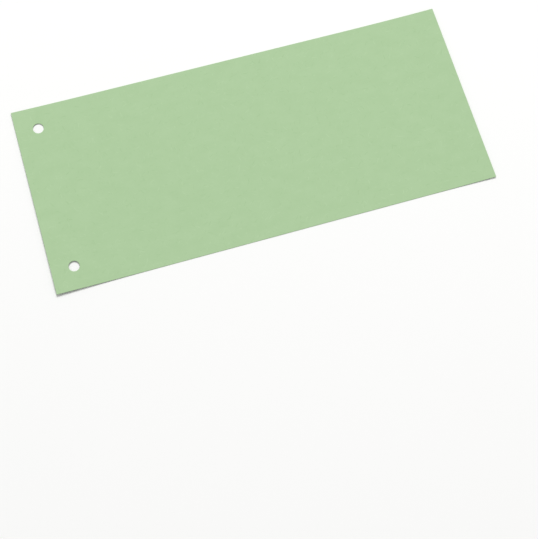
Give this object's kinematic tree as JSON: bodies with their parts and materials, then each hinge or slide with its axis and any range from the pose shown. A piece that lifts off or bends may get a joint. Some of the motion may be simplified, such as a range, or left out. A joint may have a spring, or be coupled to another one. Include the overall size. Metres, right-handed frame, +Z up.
{
  "type": "cardboard sheet",
  "caption": "Long rectangular sheet of dyed recycled card with square corners and round filing holes punched along one short end.",
  "frame": {"origin": "on the table, under the middle of the sheet as it lies face up", "axes": "+X along the sheet, away from its punched end; +Y across it; +Z up, out of its upper face"},
  "size_m": [0.24, 0.105, 0.0015],
  "materials": {
    "card": "uncoated, matt, dyed through"
  },
  "bodies": {
    "root": {"card_sheet": "card"}
  },
  "joints": []
}
